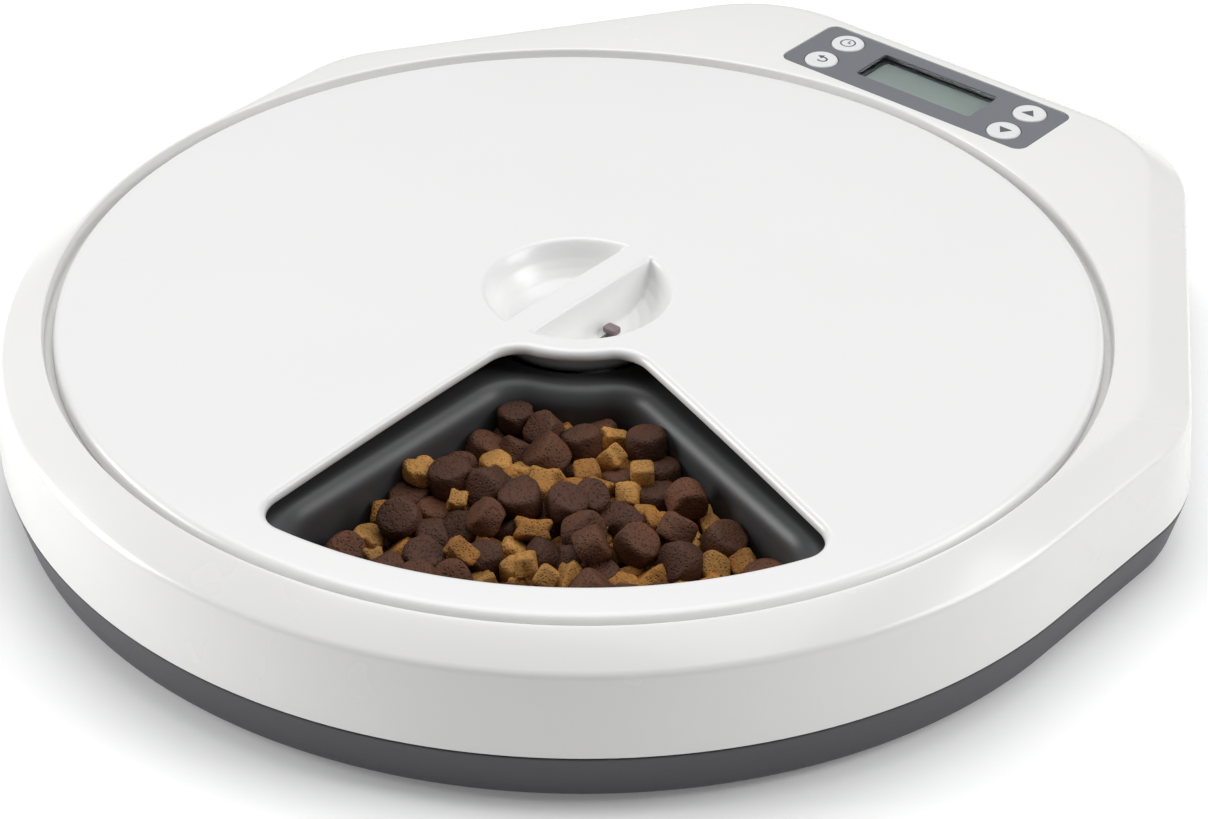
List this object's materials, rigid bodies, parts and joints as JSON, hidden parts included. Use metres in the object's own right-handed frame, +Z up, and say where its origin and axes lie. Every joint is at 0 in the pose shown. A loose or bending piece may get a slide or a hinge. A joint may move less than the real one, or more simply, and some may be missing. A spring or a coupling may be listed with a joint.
{
  "type": "automatic pet feeder",
  "caption": "Rotary pet feeder: round white lid with one wedge opening over a charcoal tray of meal compartments, on a grey base with a button console.",
  "frame": {"origin": "under the middle of the feeder's outline, on the surface it stands on", "axes": "+Z up, +Y towards the console and the flat rear face, +X to the right of someone who faces the console from the tray"},
  "size_m": [0.319, 0.3524, 0.0507],
  "materials": {
    "casing_white": "satin",
    "lid_white": "satin",
    "base_grey": "matte",
    "tray_charcoal": "satin",
    "overlay_grey": "matte",
    "lens_clear": "clear",
    "display_glass": "glossy",
    "button_white": "satin",
    "black_parts": "matte",
    "latch_grey": "matte",
    "board_green": "satin",
    "steel": "brushed",
    "nylon": "matte",
    "foot_rubber": "matte",
    "cell_jacket": "satin",
    "wire_insulation": "matte"
  },
  "bodies": {
    "housing": {"base_shell": "base_grey", "battery_1": "cell_jacket", "battery_2": "cell_jacket", "battery_3": "cell_jacket", "battery_4": "cell_jacket", "battery_bridge": "steel", "battery_lead": "wire_insulation", "battery_minus": "steel", "battery_plus": "steel", "beeper": "black_parts", "board_screw_1": "steel", "board_screw_2": "steel", "case_screw_1": "steel", "case_screw_2": "steel", "case_screw_3": "steel", "case_screw_4": "steel", "case_screw_5": "steel", "case_screw_6": "steel", "circuit_board": "board_green", "control_overlay": "overlay_grey", "display_module": "display_glass", "display_window": "lens_clear", "foot_1": "foot_rubber", "foot_2": "foot_rubber", "foot_3": "foot_rubber", "foot_4": "foot_rubber", "foot_5": "foot_rubber", "gear_motor": "steel", "index_switch": "black_parts", "lower_bush": "nylon", "motor_lead": "wire_insulation", "motor_screw_1": "steel", "motor_screw_2": "steel", "switch_down": "black_parts", "switch_return": "black_parts", "switch_set": "black_parts", "switch_up": "black_parts", "top_shell": "casing_white", "upper_bush": "nylon"},
    "tray": {"tray": "tray_charcoal", "spindle": "steel", "spindle_gear": "nylon", "index_cam": "nylon"},
    "pinion": {"motor_pinion": "nylon", "motor_shaft": "steel"},
    "lid": {"lid": "lid_white"},
    "lid_lock": {"lock_tab": "latch_grey", "lock_fork": "latch_grey"},
    "set_button": {"button_set": "button_white"},
    "return_button": {"button_return": "button_white"},
    "up_button": {"button_up": "button_white"},
    "down_button": {"button_down": "button_white"},
    "door": {"battery_door": "base_grey"}
  },
  "joints": [
    {"name": "tray_turn", "type": "hinge", "parent": "housing", "child": "tray", "pos_m": [0, -0.01675, 0], "axis": [0, 0, 1], "continuous": true},
    {"name": "pinion_turn", "type": "hinge", "parent": "housing", "child": "pinion", "pos_m": [0, -0.03475, 0], "axis": [0, 0, 1], "continuous": true},
    {"name": "lid_lift", "type": "slide", "parent": "housing", "child": "lid", "axis": [0, 0, 1], "range_m": [0, 0.12]},
    {"name": "lock_slide", "type": "slide", "parent": "lid", "child": "lid_lock", "axis": [0, -1, 0], "range_m": [0, 0.0065]},
    {"name": "press_set", "type": "slide", "parent": "housing", "child": "set_button", "axis": [0, 0, -1], "range_m": [0, 0.0007], "stiffness_N_per_m": 600, "springref_m": -0.0003},
    {"name": "press_return", "type": "slide", "parent": "housing", "child": "return_button", "axis": [0, 0, -1], "range_m": [0, 0.0007], "stiffness_N_per_m": 600, "springref_m": -0.0003},
    {"name": "press_up", "type": "slide", "parent": "housing", "child": "up_button", "axis": [0, 0, -1], "range_m": [0, 0.0007], "stiffness_N_per_m": 600, "springref_m": -0.0003},
    {"name": "press_down", "type": "slide", "parent": "housing", "child": "down_button", "axis": [0, 0, -1], "range_m": [0, 0.0007], "stiffness_N_per_m": 600, "springref_m": -0.0003},
    {"name": "battery_door_swing", "type": "hinge", "parent": "housing", "child": "door", "pos_m": [0, 0.13425, 0.002], "axis": [1, 0, 0], "range_deg": [-100, 0]}
  ],
  "couplings": [
    {"joint": "pinion_turn", "follows": "tray_turn", "ratio": -3}
  ]
}
